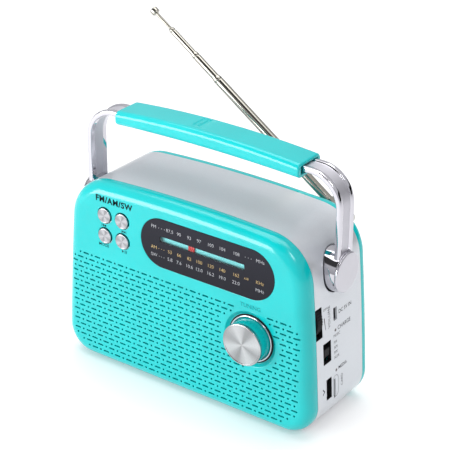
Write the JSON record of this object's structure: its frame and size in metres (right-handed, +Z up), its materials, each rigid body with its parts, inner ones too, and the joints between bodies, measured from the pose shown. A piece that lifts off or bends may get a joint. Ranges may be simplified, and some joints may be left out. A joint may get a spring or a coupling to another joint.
{
  "type": "portable transistor radio",
  "caption": "Portable radio with rounded case, slotted dial, tuning knob, push buttons, side controls, fold-down chrome handle with grip and telescopic aerial.",
  "frame": {"origin": "centre of the surface that the radio stands on, below the middle of the case's width and depth", "axes": "+X to the right of the face, +Y to the back, +Z up; the face looks along -Y"},
  "size_m": [0.173, 0.078, 0.1966],
  "materials": {
    "turquoise_shell": "glossy moulded plastic",
    "grip_turquoise": "satin-gloss moulded plastic",
    "silver_band": "pearl silver lacquer on plastic",
    "smoked_panel": "polished smoked acrylic with printed scales",
    "clear_window": "clear acrylic",
    "dial_teal": "printed plate",
    "pointer_red": "red moulded plastic",
    "black_plastic": "black moulded plastic",
    "natural_plastic": "undyed plastic",
    "cord_fibre": "braided dial cord",
    "circuit_board": "green laminate",
    "spun_aluminium": "spun face with polished rim",
    "chrome": "bright chrome",
    "nickel_tube": "nickel-plated tube",
    "steel": "plain zinc-plated steel",
    "brass": "turned brass",
    "ferrite": "sintered ferrite",
    "paper_cone": "pressed paper",
    "cell_wrap": "shrink wrap",
    "light_lens": "tinted indicator lens",
    "rubber": "black rubber"
  },
  "bodies": {
    "case": {"front_shell": "turquoise_shell", "rear_shell": "turquoise_shell", "top_panel": "silver_band", "bottom_panel": "silver_band", "side_panel_left": "silver_band", "side_panel_right": "silver_band", "dial_panel": "smoked_panel", "dial_window": "clear_window", "dial_backplate": "dial_teal", "pointer_rail": "steel", "dial_cord": "cord_fibre", "pulley_bracket": "steel", "knob_bezel": "chrome", "tuning_capacitor": "natural_plastic", "tact_switches": "black_plastic", "button_board": "circuit_board", "main_board": "circuit_board", "board_components": "black_plastic", "volume_pot": "steel", "band_switch": "steel", "dc_socket": "steel", "usb_socket": "steel", "card_socket": "steel", "indicator_lights": "light_lens", "speaker_basket": "steel", "speaker_cone": "paper_cone", "speaker_magnet": "ferrite", "battery_tray": "black_plastic", "battery_cell": "cell_wrap", "battery_contacts": "steel", "ferrite_aerial": "ferrite", "case_screws": "steel", "rubber_feet": "rubber", "aerial_bracket": "nickel_tube"},
    "handle": {"handle_strap": "chrome", "handle_grip": "grip_turquoise", "handle_hubs": "chrome", "hub_caps": "chrome", "pivot_pins": "steel"},
    "aerial_swivel_body": {"aerial_knuckle": "nickel_tube", "elbow_pin": "nickel_tube"},
    "aerial_outer": {"aerial_fork": "nickel_tube", "aerial_tube_outer": "nickel_tube"},
    "aerial_middle": {"aerial_tube_middle": "nickel_tube"},
    "aerial_inner": {"aerial_tube_inner": "nickel_tube"},
    "aerial_rod": {"aerial_tip": "nickel_tube"},
    "tuning": {"knob_cap": "spun_aluminium", "knob_skirt": "turquoise_shell", "tuning_shaft": "brass", "dial_drum": "natural_plastic"},
    "pointer": {"tuning_pointer": "pointer_red"},
    "pulley_l": {"pulley_left": "natural_plastic"},
    "pulley_r": {"pulley_right": "natural_plastic"},
    "key_previous": {"button_previous": "spun_aluminium"},
    "key_next": {"button_next": "spun_aluminium"},
    "key_mode": {"button_mode": "spun_aluminium"},
    "key_play": {"button_play": "spun_aluminium"},
    "volume": {"volume_wheel": "black_plastic"},
    "band_select": {"band_slider": "black_plastic"},
    "door": {"battery_door": "turquoise_shell"}
  },
  "joints": [
    {"name": "handle_fold", "type": "hinge", "parent": "case", "child": "handle", "pos_m": [0, 0, 0.0917], "axis": [1, 0, 0], "range_deg": [-18, 90]},
    {"name": "aerial_swivel", "type": "hinge", "parent": "case", "child": "aerial_swivel_body", "pos_m": [0.062, 0.0355, 0.1027], "axis": [0, 1, 0], "range_deg": [-35, 145]},
    {"name": "aerial_tilt", "type": "hinge", "parent": "aerial_swivel_body", "child": "aerial_outer", "pos_m": [0.05464, 0.0355, 0.10787], "axis": [-0.575, 0, -0.8181], "range_deg": [0, 90]},
    {"name": "aerial_middle_slide", "type": "slide", "parent": "aerial_outer", "child": "aerial_middle", "axis": [-0.8181, 0, 0.575], "range_m": [-0.0178, 0.065]},
    {"name": "aerial_inner_slide", "type": "slide", "parent": "aerial_middle", "child": "aerial_inner", "axis": [-0.8181, 0, 0.575], "range_m": [-0.019, 0.062]},
    {"name": "aerial_rod_slide", "type": "slide", "parent": "aerial_inner", "child": "aerial_rod", "axis": [-0.8181, 0, 0.575], "range_m": [-0.0114, 0.056]},
    {"name": "tuning_turn", "type": "hinge", "parent": "case", "child": "tuning", "pos_m": [0.0461, -0.031, 0.0519], "axis": [0, 1, 0], "range_deg": [-99, 183]},
    {"name": "pointer_slide", "type": "slide", "parent": "case", "child": "pointer", "axis": [1, 0, 0], "range_m": [-0.0179, 0.033]},
    {"name": "pulley_left_turn", "type": "hinge", "parent": "case", "child": "pulley_l", "pos_m": [-0.024, -0.0225, 0.094], "axis": [0, 1, 0], "range_deg": [-240, 442]},
    {"name": "pulley_right_turn", "type": "hinge", "parent": "case", "child": "pulley_r", "pos_m": [0.05, -0.0225, 0.094], "axis": [0, 1, 0], "range_deg": [-240, 442]},
    {"name": "press_previous", "type": "slide", "parent": "case", "child": "key_previous", "axis": [0, 1, 0], "range_m": [0, 0.0007], "stiffness_N_per_m": 900, "springref_m": -0.0003},
    {"name": "press_next", "type": "slide", "parent": "case", "child": "key_next", "axis": [0, 1, 0], "range_m": [0, 0.0007], "stiffness_N_per_m": 900, "springref_m": -0.0003},
    {"name": "press_mode", "type": "slide", "parent": "case", "child": "key_mode", "axis": [0, 1, 0], "range_m": [0, 0.0007], "stiffness_N_per_m": 900, "springref_m": -0.0003},
    {"name": "press_play", "type": "slide", "parent": "case", "child": "key_play", "axis": [0, 1, 0], "range_m": [0, 0.0007], "stiffness_N_per_m": 900, "springref_m": -0.0003},
    {"name": "volume_turn", "type": "hinge", "parent": "case", "child": "volume", "pos_m": [0.0702, -0.0186, 0.0674], "axis": [0, 1, 0], "range_deg": [-140, 140]},
    {"name": "band_slide", "type": "slide", "parent": "case", "child": "band_select", "axis": [0, 0, 1], "range_m": [-0.003, 0.003]},
    {"name": "battery_door_slide", "type": "slide", "parent": "case", "child": "door", "axis": [0, 0, -1], "range_m": [0, 0.008]}
  ],
  "couplings": [
    {"joint": "pointer_slide", "follows": "tuning_turn", "m_per_rad": 0.0103},
    {"joint": "pulley_left_turn", "follows": "tuning_turn", "ratio": 2.3954},
    {"joint": "pulley_right_turn", "follows": "tuning_turn", "ratio": 2.3954}
  ]
}
